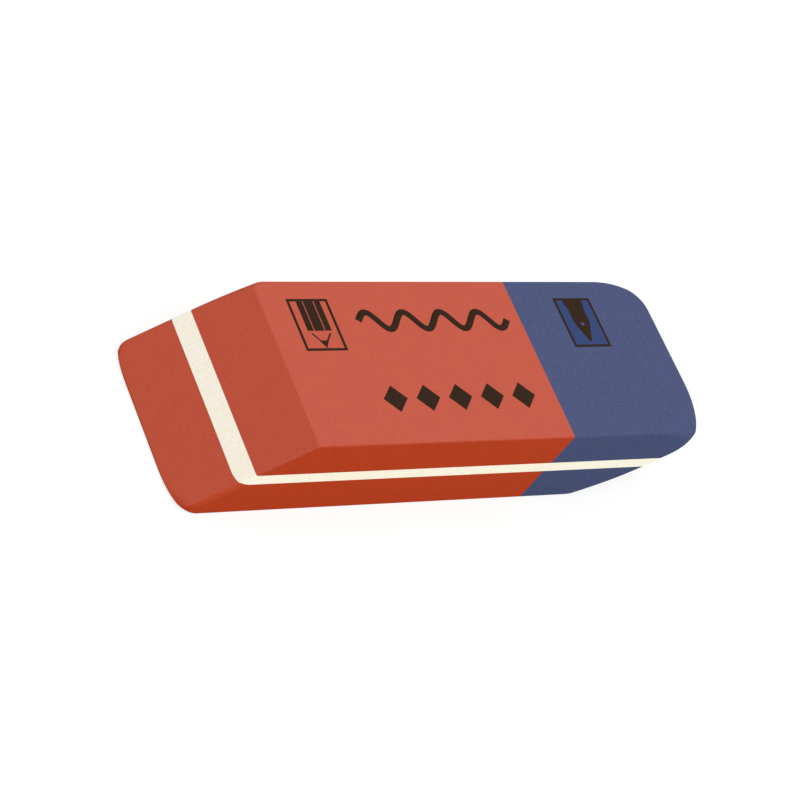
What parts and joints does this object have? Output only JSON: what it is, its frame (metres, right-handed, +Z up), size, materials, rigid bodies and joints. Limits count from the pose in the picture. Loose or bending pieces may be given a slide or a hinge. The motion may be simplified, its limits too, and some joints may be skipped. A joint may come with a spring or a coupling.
{
  "type": "rubber eraser",
  "caption": "Slanted two-colour rubber eraser: red pencil end and blue ink end, in two layers bonded to a thin cream layer between them.",
  "frame": {"origin": "middle of the block's box, on the lower flat face that it rests on", "axes": "+X along the length, towards the blue ink end; +Y across the width, towards the back side; +Z up through the layers"},
  "size_m": [0.0444, 0.015, 0.0078],
  "materials": {
    "red_rubber": "matte",
    "blue_rubber": "matte",
    "cream_rubber": "matte",
    "print_ink": "matte"
  },
  "bodies": {
    "root": {"upper_red_half": "red_rubber", "upper_blue_half": "blue_rubber", "cream_middle_layer": "cream_rubber", "lower_red_half": "red_rubber", "lower_blue_half": "blue_rubber"}
  },
  "joints": []
}
